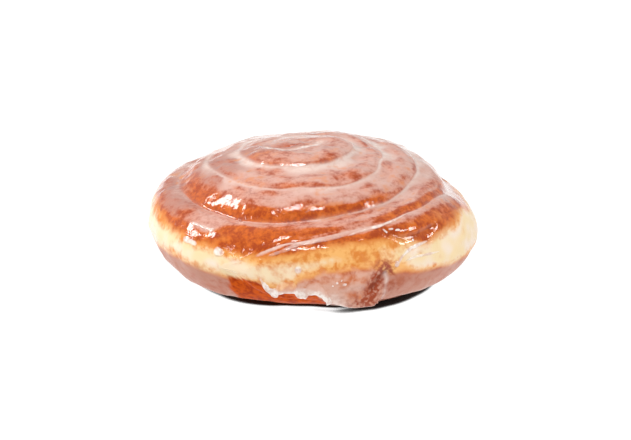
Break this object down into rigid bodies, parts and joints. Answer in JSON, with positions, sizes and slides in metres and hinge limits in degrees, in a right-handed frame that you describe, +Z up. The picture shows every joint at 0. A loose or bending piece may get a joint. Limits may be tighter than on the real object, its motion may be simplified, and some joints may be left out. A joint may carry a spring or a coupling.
{
  "type": "coffee roll",
  "caption": "Round fried sweet-dough roll: a strip coiled flat into a low dome, with creases along the spiral and a tapering tail wrapped round the front.",
  "frame": {"origin": "on the table, under the middle of the roll's box", "axes": "+Z up, +X to the roll's right as seen in the source picture, -Y towards the viewer, where the strip's tail is wrapped round the front"},
  "size_m": [0.12, 0.1202, 0.0482],
  "materials": {
    "glazed_crust": "fried golden-brown crust under a thin, glossy, see-through sugar glaze"
  },
  "bodies": {
    "root": {"dough": "glazed_crust"}
  },
  "joints": []
}
